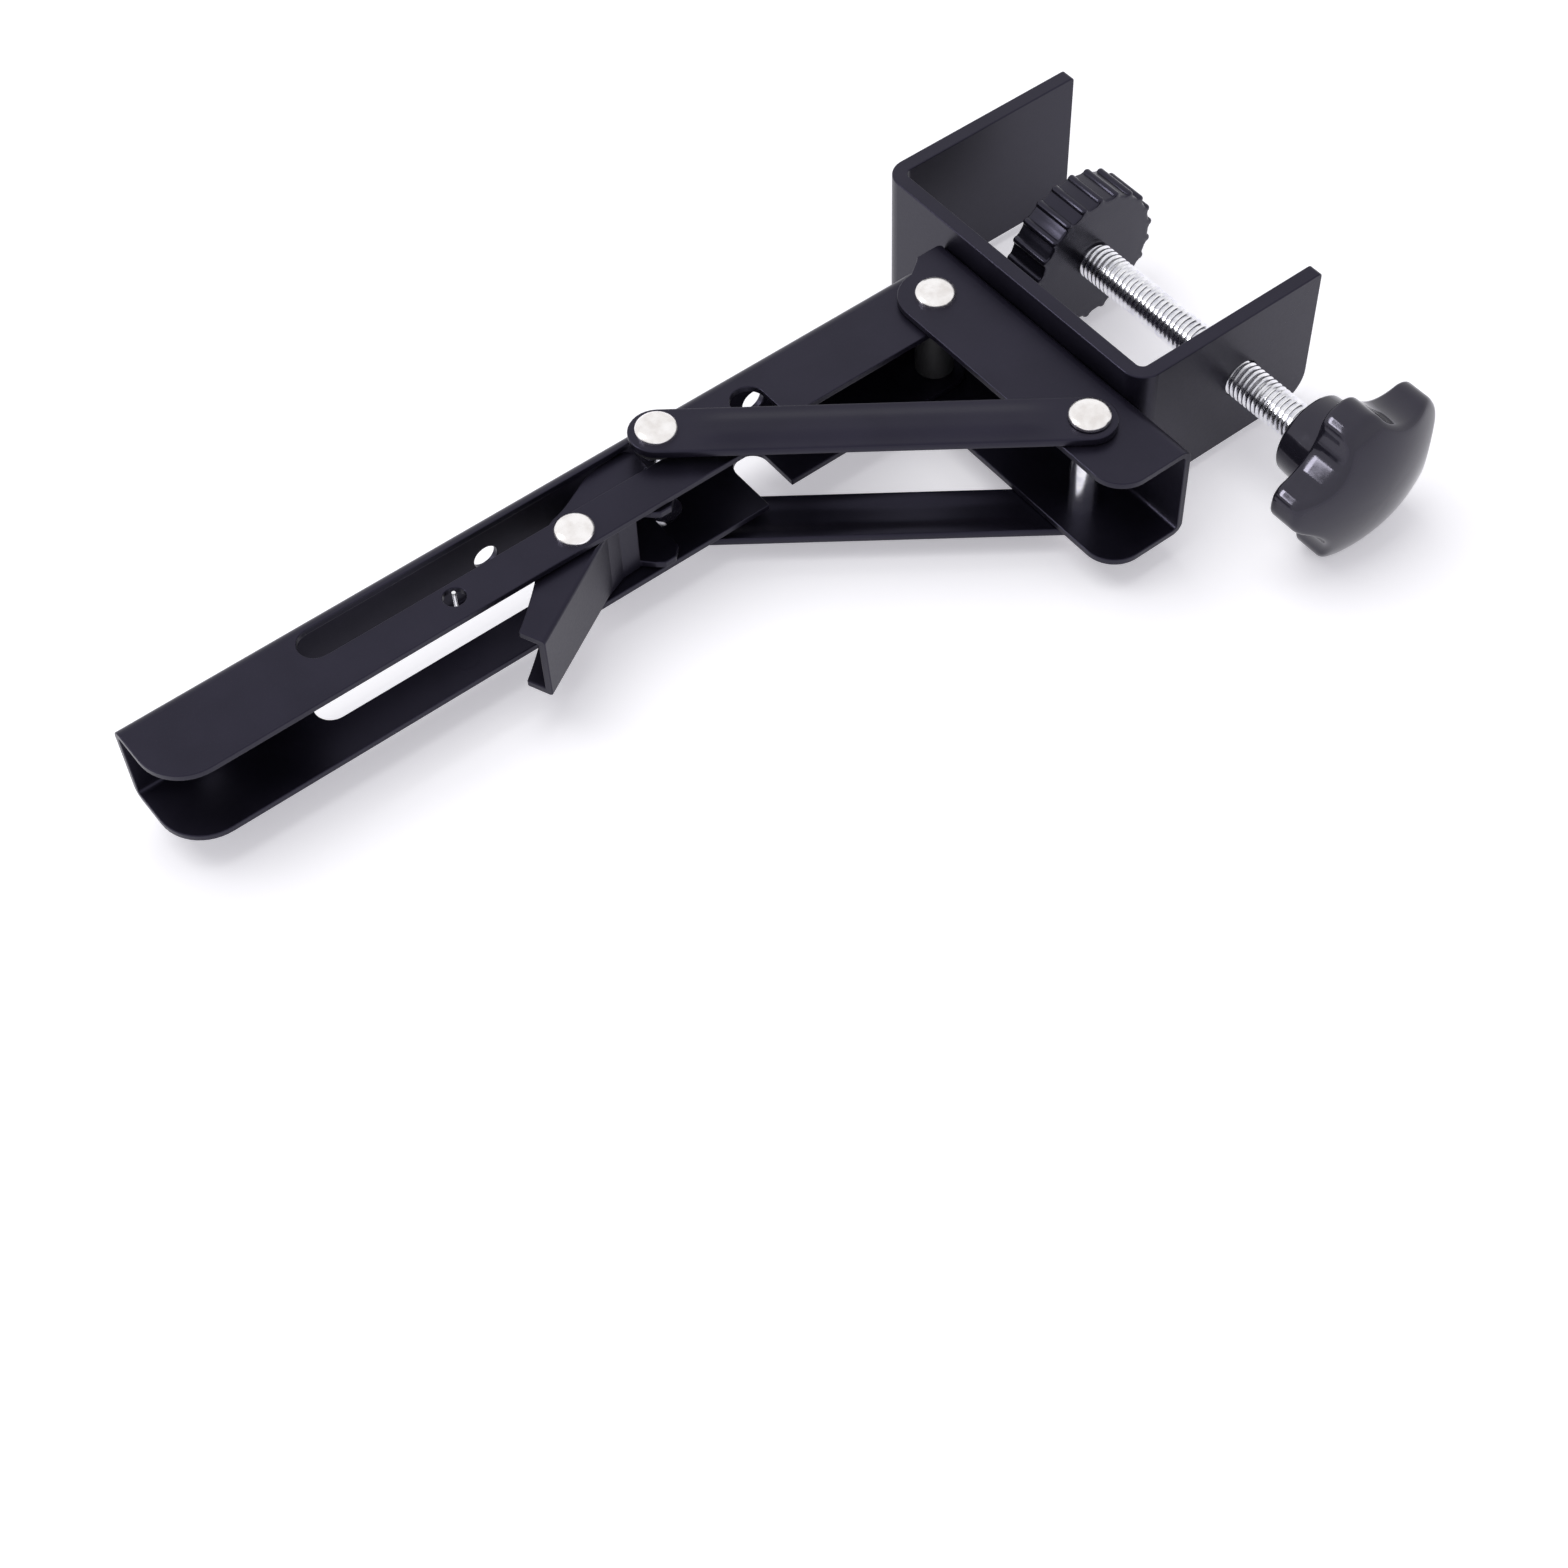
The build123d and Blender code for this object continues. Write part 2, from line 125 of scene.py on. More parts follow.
# Lever spring: its wire, its coil and its two legs
SPRING_WIRE = 0.5
SPRING_COIL = 3.6
SPRING_PITCH = 1.2
SPRING_TURN = 3 * 360 + 150
SPRING_START = 30.0
SPRING_NEAR = 6.5
SPRING_LAP = 45
SPRING_LAP_WIRE = SPRING_WIRE - 0.02
SPRING_TAIL = 12.0
SPRING_CORNER = 1.5
SPRING_ANCHOR = (-195.5, -37.8)
SPRING_TIP = -13.9
LEVER_PIVOT = (-162.6, -39.0)

# Disc that closes the far hole of the arm, a little proud of the sheet on both sides
BLANK_RADIUS = 3.0
BLANK_PROUD = 0.02
BLANK_DEPTH = 1.82

# Bevels on the bent sheet
EDGE_WIDTHS = {
    "clamp_plate": 0.35,
    "wall_channel": 0.25,
    "arm_channel": 0.25,
    "release_lever": 0.3,
}

# Studio, in metres: the floor lies along the far side of the bracket, just under the knob
FLOOR_Y = 0.0238
FLOOR_REACH = 3
MIDDLE = Vector((-0.12, 0, -0.07))
LENS = 62.86
CAMERA_PLACE = (-0.37153, -0.49291, -0.4114)
CAMERA_RIGHT = Vector((0.78988, 0.02964, -0.61255))
CAMERA_UP = Vector((0.50992, -0.58666, 0.62914))
CAMERA_BACK = Vector((-0.34071, -0.80929, -0.4785))


class Value:
    """An output of a shader node that takes part in sums and products."""

    def __init__(self, shader, socket):
        self.shader = shader
        self.socket = socket

    def combine(self, operation, first, second):
        """One Math node on two values or numbers."""
        return self.shader.node("ShaderNodeMath", {"operation": operation}, {0: first, 1: second})

    def __add__(self, other):
        return self.combine("ADD", self, other)

    __radd__ = __add__

    def __sub__(self, other):
        return self.combine("SUBTRACT", self, other)

    def __rsub__(self, other):
        return self.combine("SUBTRACT", other, self)

    def __mul__(self, other):
        return self.combine("MULTIPLY", self, other)

    __rmul__ = __mul__

    def larger(self, other):
        """The larger of two values."""
        return self.combine("MAXIMUM", self, other)

    def step(self, low, high):
        """0 below low, 1 above high, and a soft rise between them."""
        settings = {"interpolation_type": "SMOOTHSTEP"}
        inputs = {"Value": self, "From Min": low, "From Max": high}
        return self.shader.node("ShaderNodeMapRange", settings, inputs)


class Shader:
    """The nodes of one finish, or of the studio's world."""

    def __init__(self, owner):
        owner.use_nodes = True
        self.tree = owner.node_tree
        self.tree.nodes.clear()

    def node(self, kind, settings=None, inputs=None, output=0):
        """A node with its settings made first, then its sockets; gives one of its outputs."""
        made = self.tree.nodes.new(kind)
        for name, value in (settings or {}).items():
            setattr(made, name, value)
        for name, value in (inputs or {}).items():
            if isinstance(value, Value):
                self.tree.links.new(value.socket, made.inputs[name])
            else:
                made.inputs[name].default_value = value
        return Value(self, made.outputs[output]) if made.outputs else None

    def mix(self, factor, first, second):
        """One colour turning into another."""
        inputs = {0: factor, 6: first, 7: second}
        return self.node("ShaderNodeMix", {"data_type": "RGBA"}, inputs, output=2)

    def grain(self, scale, detail=3.0, roughness=0.5):
        """Soft noise over the object's own place, scale in cells per metre."""
        place = self.node("ShaderNodeTexCoord", output="Object")
        inputs = {"Vector": place, "Scale": scale, "Detail": detail, "Roughness": roughness}
        return self.node("ShaderNodeTexNoise", {}, inputs)

    def relief(self, height, strength, depth):
        """A bump from a height map, depth in metres."""
        inputs = {"Height": height, "Strength": strength, "Distance": depth}
        return self.node("ShaderNodeBump", {}, inputs)

    def surface(self, **sockets):
        """A Principled surface with the sockets given."""
        inputs = {name.replace("_", " "): value for name, value in sockets.items()}
        return self.node("ShaderNodeBsdfPrincipled", {}, inputs)

    def finish(self, surface):
        """Ends the nodes in the surface given."""
        self.node("ShaderNodeOutputMaterial", {}, {"Surface": surface})


def rgb(red, green, blue):
    """A colour with full alpha."""
    return (red, green, blue, 1.0)


# Finishes


def powder_coat():
    """Black powder coat: a satin skin with a very fine orange peel and a cool cast."""
    material = bpy.data.materials.new("black_powder_coat")
    shader = Shader(material)
    peel = shader.grain(1400, detail=2.0)
    cloud = shader.grain(60, detail=4.0)
    speck = shader.grain(5200, detail=1.0).step(0.66, 0.74)
    deep = rgb(0.0048, 0.0043, 0.0078)
    pale = rgb(0.0085, 0.0076, 0.0132)
    coat = shader.mix(cloud.step(0.3, 0.7), deep, pale)
    surface = shader.surface(
        Base_Color=shader.mix(speck * 0.3, coat, rgb(0.03, 0.028, 0.036)),
        Roughness=0.27 + peel * 0.1 + cloud * 0.06,
        Normal=shader.relief(peel, 0.2, 0.00005),
        IOR=1.42,
        Specular_Tint=rgb(0.7, 0.66, 1.0),
    )
    shader.finish(surface)
    return material


def nickel_plate():
    """Bright nickel on rivets: nearly white, with faint marks of the heading tool."""
    material = bpy.data.materials.new("bright_nickel_plate")
    shader = Shader(material)
    marks = shader.grain(900)
    cloud = shader.grain(260, detail=2.0)
    bright = rgb(0.95, 0.93, 0.93)
    warm = rgb(0.78, 0.745, 0.73)
    surface = shader.surface(
        Base_Color=shader.mix(cloud.step(0.3, 0.75), bright, warm),
        Metallic=1.0,
        Roughness=0.16 + marks * 0.16,
        Normal=shader.relief(marks, 0.12, 0.00006),
    )
    shader.finish(surface)
    return material


def zinc_plate():
    """Bright zinc on the rod, sleeve, rollers and spring."""
    material = bpy.data.materials.new("bright_zinc_plate")
    shader = Shader(material)
    cloud = shader.grain(420, detail=4.0, roughness=0.6)
    fine = shader.grain(2600, detail=2.0)
    bright = rgb(0.9, 0.9, 0.93)
    dull = rgb(0.74, 0.74, 0.79)
    surface = shader.surface(
        Base_Color=shader.mix(cloud.step(0.35, 0.7), bright, dull),
        Metallic=1.0,
        Roughness=0.15 + cloud * 0.12,
        Normal=shader.relief(fine, 0.08, 0.00004),
    )
    shader.finish(surface)
    return material


def washer_plastic():
    """Dark matt plastic of the washers and of the sleeve on the arm's pivot."""
    material = bpy.data.materials.new("dark_washer_plastic")
    shader = Shader(material)
    cloud = shader.grain(300)
    surface = shader.surface(
        Base_Color=shader.mix(cloud, rgb(0.012, 0.012, 0.013), rgb(0.024, 0.024, 0.027)),
        Roughness=0.5 + cloud * 0.15,
        Normal=shader.relief(shader.grain(1800), 0.2, 0.00005),
    )
    shader.finish(surface)
    return material


def knob_plastic():
    """Glossy black plastic of the knob, with the slight waviness of a moulding."""
    material = bpy.data.materials.new("glossy_knob_plastic")
    shader = Shader(material)
    wave = shader.grain(55, detail=1.0)
    smear = shader.grain(160, detail=4.0, roughness=0.65)
    surface = shader.surface(
        Base_Color=shader.mix(smear, rgb(0.011, 0.0102, 0.0155), rgb(0.019, 0.0177, 0.026)),
        Roughness=0.07 + smear.step(0.35, 0.75) * 0.08,
        Normal=shader.relief(wave, 0.06, 0.0003),
        IOR=1.53,
        Specular_Tint=rgb(0.84, 0.81, 1.0),
    )
    shader.finish(surface)
    return material


def pad_plastic():
    """Black plastic of the ridged pad: satin faces with a fine spark texture."""
    material = bpy.data.materials.new("ridged_pad_plastic")
    shader = Shader(material)
    spark = shader.grain(2400, detail=2.0)
    smear = shader.grain(180)
    surface = shader.surface(
        Base_Color=shader.mix(smear, rgb(0.005, 0.0047, 0.0075), rgb(0.01, 0.0094, 0.014)),
        Roughness=0.17 + smear * 0.14,
        Normal=shader.relief(spark, 0.08, 0.00004),
        IOR=1.47,
        Specular_Tint=rgb(0.74, 0.71, 1.0),
    )
    shader.finish(surface)
    return material


def seen_rays(shader):
    """1 for the rays that show a backdrop to the camera, straight, mirrored or let through."""
    straight = shader.node("ShaderNodeLightPath", output="Is Camera Ray")
    mirrored = shader.node("ShaderNodeLightPath", output="Is Glossy Ray")
    through = shader.node("ShaderNodeLightPath", output="Is Transmission Ray")
    return straight.larger(mirrored).larger(through)


def studio_floor():
    """Pale floor, seen from above only, that keeps the bracket's shadow."""
    material = bpy.data.materials.new("pale_studio_floor")
    shader = Shader(material)
    paper = shader.grain(3.0, detail=2.0)
    surface = shader.surface(
        Base_Color=shader.mix(paper, rgb(0.86, 0.86, 0.87), rgb(0.9, 0.9, 0.905)),
        Roughness=0.9,
        Specular_IOR_Level=0.1,
        Emission_Color=shader.mix(seen_rays(shader), rgb(0, 0, 0), rgb(0.37, 0.362, 0.385)),
        Emission_Strength=1.0,
    )
    clear = shader.node("ShaderNodeBsdfTransparent")
    behind = shader.node("ShaderNodeNewGeometry", output="Backfacing")
    shader.finish(shader.node("ShaderNodeMixShader", {}, {0: behind, 1: surface, 2: clear}))
    return material


finishes = {
    "powder_coat": powder_coat(),
    "nickel": nickel_plate(),
    "zinc_rod": zinc_plate(),
    "dark_washer": washer_plastic(),
    "knob_plastic": knob_plastic(),
    "pad_plastic": pad_plastic(),
}


# Mesh work and measures that the pieces share


def link(mesh, name):
    """An object for a mesh, in the scene."""
    piece = bpy.data.objects.new(name, mesh)
    bpy.context.scene.collection.objects.link(piece)
    return piece


def built(name, bm, crease):
    """A mesh object from bmesh work, smooth but for edges sharper than crease degrees."""
    bmesh.ops.remove_doubles(bm, verts=bm.verts, dist=1e-7)
    bmesh.ops.dissolve_degenerate(bm, edges=bm.edges, dist=1e-7)
    bmesh.ops.recalc_face_normals(bm, faces=bm.faces)
    for face in bm.faces:
        face.smooth = True
    for edge in bm.edges:
        edge.smooth = len(edge.link_faces) != 2 or edge.calc_face_angle() < radians(crease)
    mesh = bpy.data.meshes.new(name)
    bm.to_mesh(mesh)
    bm.free()
    return link(mesh, name)


def stack(name, rings, crease):
    """A closed body from rings of points in millimetres, each end drawn in to one point."""
    bm = bmesh.new()
    rows = [[bm.verts.new(Vector(point) * MM) for point in ring] for ring in rings]
    for lower, upper in zip(rows, rows[1:]):
        count = max(len(lower), len(upper))
        for i in range(count):
            j = (i + 1) % count
            if len(lower) == 1:
                bm.faces.new((lower[0], upper[i], upper[j]))
            elif len(upper) == 1:
                bm.faces.new((lower[j], lower[i], upper[0]))
            else:
                bm.faces.new((lower[i], lower[j], upper[j], upper[i]))
    return built(name, bm, crease)


def turned(name, centre, profile, around=64):
    """A body turned about a cross axis at centre, from (place along -Y, radius) pairs."""
    x, z = centre
    turn = 2 * pi / around
    rings = []
    for out, radius in profile:
        if radius == 0:
            rings.append([(x, -out, z)])
            continue
        angles = [i * turn for i in range(around)]
        rings.append([(x + radius * cos(a), -out, z + radius * sin(a)) for a in angles])
    return stack(name, rings, crease=35.0)


def wire(name, path, radius, around=14):
    """A round wire along a path of points in millimetres."""
    angles = [2 * pi * k / around for k in range(around)]
    side = (path[1] - path[0]).orthogonal().normalized()
    rings = [[path[0]]]
    for before, point, after in zip(path[:1] + path, path, path[1:] + path[-1:]):
        ahead = (after - before).normalized()
        side = (side - ahead * side.dot(ahead)).normalized()
        other = ahead.cross(side)
        rings.append([point + (side * cos(a) + other * sin(a)) * radius for a in angles])
    rings.append([path[-1]])
    return stack(name, rings, crease=50.0)


def arc(centre, radius, start, end, steps):
    """Points along an arc in plan, each with the direction that faces out of it."""
    for k in range(steps):
        angle = start + (end - start) * k / steps
        out = (cos(angle), sin(angle))
        yield (centre[0] + radius * out[0], centre[1] + radius * out[1]), out


def quarter(steps):
    """The sine and cosine of each step of a quarter turn, for a rounded edge or a bend."""
    return [(sin(k * pi / (2 * steps)), cos(k * pi / (2 * steps))) for k in range(steps + 1)]


def soft_step(value):
    """0 to 1 along a smooth rise."""
    value = min(max(value, 0.0), 1.0)
    return value * value * (3 - 2 * value)


def foot_and_top(node):
    """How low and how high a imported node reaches, in millimetres."""
    low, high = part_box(node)
    return low.z / MM, high.z / MM


def near_and_far(node):
    """How far along -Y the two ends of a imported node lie, in millimetres."""
    low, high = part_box(node)
    return -low.y / MM, -high.y / MM


def middle_of(node):
    """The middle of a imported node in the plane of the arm, in millimetres."""
    low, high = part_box(node)
    middle = (low + high) / 2 / MM
    return middle.x, middle.z


def seat(piece, body, slot, *replaced):
    """Gives a new piece its finish, its body and the nodes that it stands for."""
    piece.data.materials.append(finishes[slot])
    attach(piece, body)
    if replaced:
        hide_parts(*replaced)


# Clamp: knob, pad and screw


def knob_outline():
    """The plan of the star grip: points and the outward direction at each."""
    step = pi / KNOB_LOBES
    reach = KNOB_TIP - KNOB_LOBE_ROUND
    gap = KNOB_SCALLOP + KNOB_LOBE_ROUND
    share = (reach**2 + KNOB_SCALLOP_OUT**2 - gap**2) / (2 * reach * KNOB_SCALLOP_OUT)
    lean = step - acos(share)
    round_at = (reach * cos(lean), reach * sin(lean))
    scallop_at = (KNOB_SCALLOP_OUT * cos(step), KNOB_SCALLOP_OUT * sin(step))
    meet = atan2(scallop_at[1] - round_at[1], scallop_at[0] - round_at[0])
    half = list(arc((0, 0), KNOB_TIP, 0, lean, 3))
    half += arc(round_at, KNOB_LOBE_ROUND, lean, meet, 12)
    inward = arc(scallop_at, KNOB_SCALLOP, meet + pi, step + pi, 14)
    half += [(point, (-out[0], -out[1])) for point, out in inward]
    deep = KNOB_SCALLOP_OUT - KNOB_SCALLOP
    middle = ((deep * cos(step), deep * sin(step)), (cos(step), sin(step)))
    mirrored = [((x, -y), (u, -v)) for (x, y), (u, v) in reversed(half[1:])]
    lobe = mirrored + half + [middle]
    points = []
    for n in range(KNOB_LOBES):
        turn = Matrix.Rotation(radians(KNOB_TURN) + 2 * n * step, 2)
        points += [(turn @ Vector(point), turn @ Vector(out)) for point, out in lobe]
    return points


def star_knob():
    """The hand knob: a hub, a lobed grip with rounded edges and a high domed front."""
    top = foot_and_top("star_knob")[1]
    back = top - KNOB_HUB_HEIGHT
    front = back - KNOB_SIDE - KNOB_DOME
    ball = (KNOB_TIP**2 + KNOB_DOME**2) / (2 * KNOB_DOME)
    outline = knob_outline()
    angles = [atan2(point.y, point.x) for point, out in outline]

    def dome(x, y):
        return front + ball - sqrt(ball**2 - x * x - y * y)

    def round_ring(radius, height):
        return [(radius * cos(angle), radius * sin(angle), height) for angle in angles]

    def inset_ring(inset, height):
        return [tuple(point - out * inset) + (height,) for point, out in outline]

    # Hub: a flat top with a rounded edge, and a cove at its foot
    rings = [[(0, 0, top)]]
    rings += [round_ring(radius, top) for radius in KNOB_HUB_FACE]
    for rise, fall in quarter(4):
        radius = KNOB_HUB_TOP - KNOB_HUB_EDGE + KNOB_HUB_EDGE * rise
        rings.append(round_ring(radius, top - KNOB_HUB_EDGE + KNOB_HUB_EDGE * fall))
    rings.append(round_ring((KNOB_HUB_TOP + KNOB_HUB_FOOT) / 2, (top + back) / 2))
    for rise, fall in quarter(4):
        radius = KNOB_HUB_FOOT + KNOB_HUB_COVE - KNOB_HUB_COVE * fall
        rings.append(round_ring(radius, back + KNOB_HUB_COVE - KNOB_HUB_COVE * rise))

    # Grip: a rounded back edge, the upright side, and a brow that rolls over onto the dome
    for rise, fall in quarter(4):
        rings.append(inset_ring(KNOB_HEM - KNOB_HEM * rise, back - KNOB_HEM + KNOB_HEM * fall))
    for share in KNOB_SIDE_SHARES:
        ring = []
        for point, out in outline:
            start = back - KNOB_HEM
            end = dome(*point) + KNOB_BROW
            ring.append((*point, start + (end - start) * share))
        rings.append(ring)
    for k in range(6):
        t = k / 5
        ring = []
        for point, out in outline:
            inner = point - out * KNOB_BROW
            corner = Vector((*point, dome(*point)))
            start = Vector((*point, corner.z + KNOB_BROW))
            end = Vector((*inner, dome(*inner)))
            ring.append(start * (1 - t) ** 2 + corner * 2 * t * (1 - t) + end * t**2)
        rings.append(ring)
    for share in KNOB_DOME_SHARES:
        ring = []
        for point, out in outline:
            place = (point - out * KNOB_BROW) * share
            ring.append((*place, dome(*place)))
        rings.append(ring)
    rings.append([(0, 0, front)])
    knob = stack("star_knob_grip", rings, crease=50.0)
    seat(knob, "screw", "knob_plastic", "star_knob")


def pad_outline():
    """The plan of the pad: a circle with small round ridges standing on it."""
    step = 2 * pi / PAD_RIDGES
    reach = PAD_RIDGE / PAD_RADIUS
    side = acos(1 - reach**2 / 2)
    points = []
    for n in range(PAD_RIDGES):
        middle = radians(PAD_TURN) + n * step
        centre = Vector((PAD_RADIUS * cos(middle), PAD_RADIUS * sin(middle)))
        for k in range(9):
            angle = middle - pi / 2 + side / 2 + (pi - side) * k / 8
            out = Vector((cos(angle), sin(angle)))
            points.append((centre + out * PAD_RIDGE, out))
        for k in range(1, 5):
            angle = middle + side + (step - 2 * side) * k / 5
            out = Vector((cos(angle), sin(angle)))
            points.append((out * PAD_RADIUS, out))
    return points


def clamp_pad():
    """The pressure pad: rounded ridges down its rim, and a low step on the face it shows."""
    low, high = foot_and_top("clamp_pad")
    outline = pad_outline()
    angles = [atan2(point.y, point.x) for point, out in outline]

    def level_ring(radius, height):
        return [(radius * cos(angle), radius * sin(angle), height) for angle in angles]

    def rim_ring(inset, height):
        return [tuple(point - out * inset) + (height,) for point, out in outline]

    rings = [[(0, 0, low)]]
    rings += [level_ring(radius, low) for radius in PAD_FACE]
    rings.append(level_ring(PAD_STEP_OUT, low + PAD_STEP))
    for rise, fall in quarter(4):
        rings.append(rim_ring(PAD_HEM - PAD_HEM * rise, low + PAD_HEM - PAD_HEM * fall))
    for rise, fall in quarter(4):
        rings.append(rim_ring(PAD_HEM - PAD_HEM * fall, high - PAD_HEM + PAD_HEM * rise))
    rings += [level_ring(radius, high) for radius in PAD_BACK]
    rings.append([(0, 0, high)])
    pad = stack("clamp_pad_disc", rings, crease=40.0)
    seat(pad, "pad", "pad_plastic", "clamp_pad")


def clamp_screw():
    """The clamp screw with its thread: rings that climb one pitch in a full turn."""
    low, high = foot_and_top("clamp_screw")
    turns = int((high - low) / THREAD_PITCH) + 2
    bm = bmesh.new()
    rows = []
    for turn in range(-1, turns):
        for share, radius in THREAD_FORM:
            row = []
            for i in range(THREAD_AROUND + 1):
                height = low + (turn + share + i / THREAD_AROUND) * THREAD_PITCH
                from_end = max(min(height - low, high - height), 0.0)
                fullness = min(from_end / THREAD_PITCH, 1.0)
                reach = THREAD_ROOT + (radius - THREAD_ROOT) * fullness
                angle = 2 * pi * i / THREAD_AROUND
                height = min(max(height, low), high)
                place = (reach * cos(angle), reach * sin(angle), height)
                row.append(bm.verts.new([part * MM for part in place]))
            rows.append(row)
    for lower, upper in zip(rows, rows[1:]):
        for i in range(THREAD_AROUND):
            bm.faces.new((lower[i], lower[i + 1], upper[i + 1], upper[i]))
    bmesh.ops.remove_doubles(bm, verts=bm.verts, dist=1e-6)
    bmesh.ops.dissolve_degenerate(bm, edges=bm.edges, dist=1e-6)
    bmesh.ops.holes_fill(bm, edges=bm.edges, sides=0)
    screw = built("clamp_screw_thread", bm, 25.0)
    seat(screw, "screw", "zinc_rod", "clamp_screw")


# Arm and frame: spring, rivets, sleeve, struts and the closed hole


def on_coil(turned_by):
    """A point of the spring's coil, a number of degrees from its far end."""
    angle = radians(turned_by + SPRING_START)
    start = SPRING_NEAR - SPRING_TURN / 360 * SPRING_PITCH
    out = start + turned_by / 360 * SPRING_PITCH
    x = LEVER_PIVOT[0] + SPRING_COIL * sin(angle)
    return Vector((x, -out, LEVER_PIVOT[1] - SPRING_COIL * cos(angle)))


def lever_spring():
    """The lever's spring: its coil and long leg stay on the arm, its short leg on the lever."""
    coil = [on_coil(step) for step in range(0, SPRING_TURN, 15)] + [on_coil(SPRING_TURN)]
    anchor = Vector((SPRING_ANCHOR[0], -SPRING_NEAR, SPRING_ANCHOR[1]))
    run = (anchor - coil[-1]).normalized()
    near = Vector((0, -1, 0))
    for rise, fall in quarter(6):
        coil.append(anchor + (run * (rise - 1) + near * (1 - fall)) * SPRING_CORNER)
    coil.append(Vector((anchor.x, SPRING_TIP, anchor.z)))
    seat(wire("lever_spring_coil", coil, SPRING_WIRE), "arm", "zinc_rod", "lever_spring")

    # The short leg starts with a lap that lies inside the coil's first turn
    lap = [on_coil(step) for step in range(SPRING_LAP, -1, -9)]
    away = (on_coil(0) - on_coil(1)).normalized()
    tail = lap + [lap[-1] + away * SPRING_TAIL]
    seat(wire("lever_spring_short_leg", tail, SPRING_LAP_WIRE), "lever", "zinc_rod")


def rivet(node, body, head_height, shank, heads=("near", "far")):
    """A formed rivet: a nearly flat crown that rolls over into an upright rim."""
    low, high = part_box(node)
    radius = (high.x - low.x) / 2 / MM
    near, far = near_and_far(node)
    if "near" in heads:
        profile = [(near - drop, radius * share) for drop, share in HEAD_SHAPE]
        profile += [(near - head_height, radius * HEAD_FOOT), (near - head_height, shank)]
    else:
        profile = [(near, 0.0), (near, shank)]
    if "far" in heads:
        profile += [(far + head_height, shank), (far + head_height, radius * HEAD_FOOT)]
        profile += [(far + drop, radius * share) for drop, share in reversed(HEAD_SHAPE)]
    else:
        profile += [(far, shank), (far, 0.0)]
    seat(turned(node + "_formed", middle_of(node), profile), body, "nickel", node)


def dark_sleeve():
    """The spacer on the arm's pivot, in the dark matt finish."""
    near, far = near_and_far("arm_pivot_sleeve")
    end = SLEEVE_RADIUS - SLEEVE_BEVEL
    profile = [(near, 0.0), (near, end), (near - SLEEVE_BEVEL, SLEEVE_RADIUS)]
    profile += [(far + SLEEVE_BEVEL, SLEEVE_RADIUS), (far, end), (far, 0.0)]
    sleeve = turned("arm_pivot_sleeve_dark", middle_of("arm_pivot_sleeve"), profile)
    seat(sleeve, "frame", "dark_washer", "arm_pivot_sleeve")


def strut_plan(reach):
    """The outline of a strut, reach out from its middle line: two round ends and two sides."""
    half = STRUT_LENGTH / 2
    points = []
    for end in (1, -1):
        for k in range(17):
            angle = (k / 16 - 0.5) * pi + (0 if end > 0 else pi)
            points.append((end * half + reach * cos(angle), reach * sin(angle)))
        points += [(end * (half - 2 * half * k / 40), end * reach) for k in range(1, 40)]
    return points


def strut(node, outward):
    """A flat bar with a broad, softly pressed rib, hollow behind."""
    x_middle, z_middle = middle_of(node)
    inner = min(abs(end) for end in near_and_far(node))
    along = Vector(STRUT_RUN).normalized()
    across = Vector((-along.y, along.x))

    def ring(inset, lift):
        points = []
        for x, y in strut_plan(STRUT_WIDTH / 2 - inset):
            from_end = STRUT_LENGTH / 2 - RIB_END - abs(x)
            press = soft_step((inset - RIB_EDGE) / RIB_RISE) * soft_step(from_end / RIB_RUN_OUT)
            place = along * x + across * y
            out = inner + lift + STRUT_RIB * press
            points.append((x_middle + place.x, outward * out, z_middle + place.y))
        return points

    rings = [ring(inset, 0.0) for inset in reversed(STRUT_FACE)]
    for rise, fall in quarter(3):
        rings.append(ring(STRUT_EDGE * (1 - rise), STRUT_EDGE * (1 - fall)))
    for rise, fall in quarter(3):
        lift = STRUT_SHEET - STRUT_EDGE + STRUT_EDGE * rise
        rings.append(ring(STRUT_EDGE * (1 - fall), lift))
    rings += [ring(inset, STRUT_SHEET) for inset in STRUT_FACE]
    seat(stack(node + "_pressed", rings, crease=50.0), "struts", "powder_coat", node)


def blank_flange():
    """The far flange has no spring hole: its sheet runs through there."""
    far = near_and_far("arm_channel")[1]
    outer, inner = far - BLANK_PROUD, far + BLANK_DEPTH
    profile = [(outer, 0.0), (outer, BLANK_RADIUS), (inner, BLANK_RADIUS), (inner, 0.0)]
    blank = turned("far_flange_blank", SPRING_ANCHOR, profile, around=48)
    seat(blank, "arm", "powder_coat")


star_knob()
clamp_pad()
clamp_screw()
lever_spring()
rivet("arm_pivot_rivet", "frame", PIVOT_HEAD, PIVOT_SHANK)
rivet("strut_pivot_rivet", "frame", PIVOT_HEAD, PIVOT_SHANK)
rivet("lever_pivot_rivet", "arm", LEVER_HEAD, LEVER_SHANK)
rivet("strut_end_rivet_near", "struts", PIVOT_HEAD, PIVOT_SHANK, heads=("near",))
rivet("strut_end_rivet_far", "struts", PIVOT_HEAD, PIVOT_SHANK, heads=("far",))
dark_sleeve()
strut("strut_near", -1)
strut("strut_far", 1)
blank_flange()


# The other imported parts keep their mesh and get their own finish, the bent sheet soft edges too


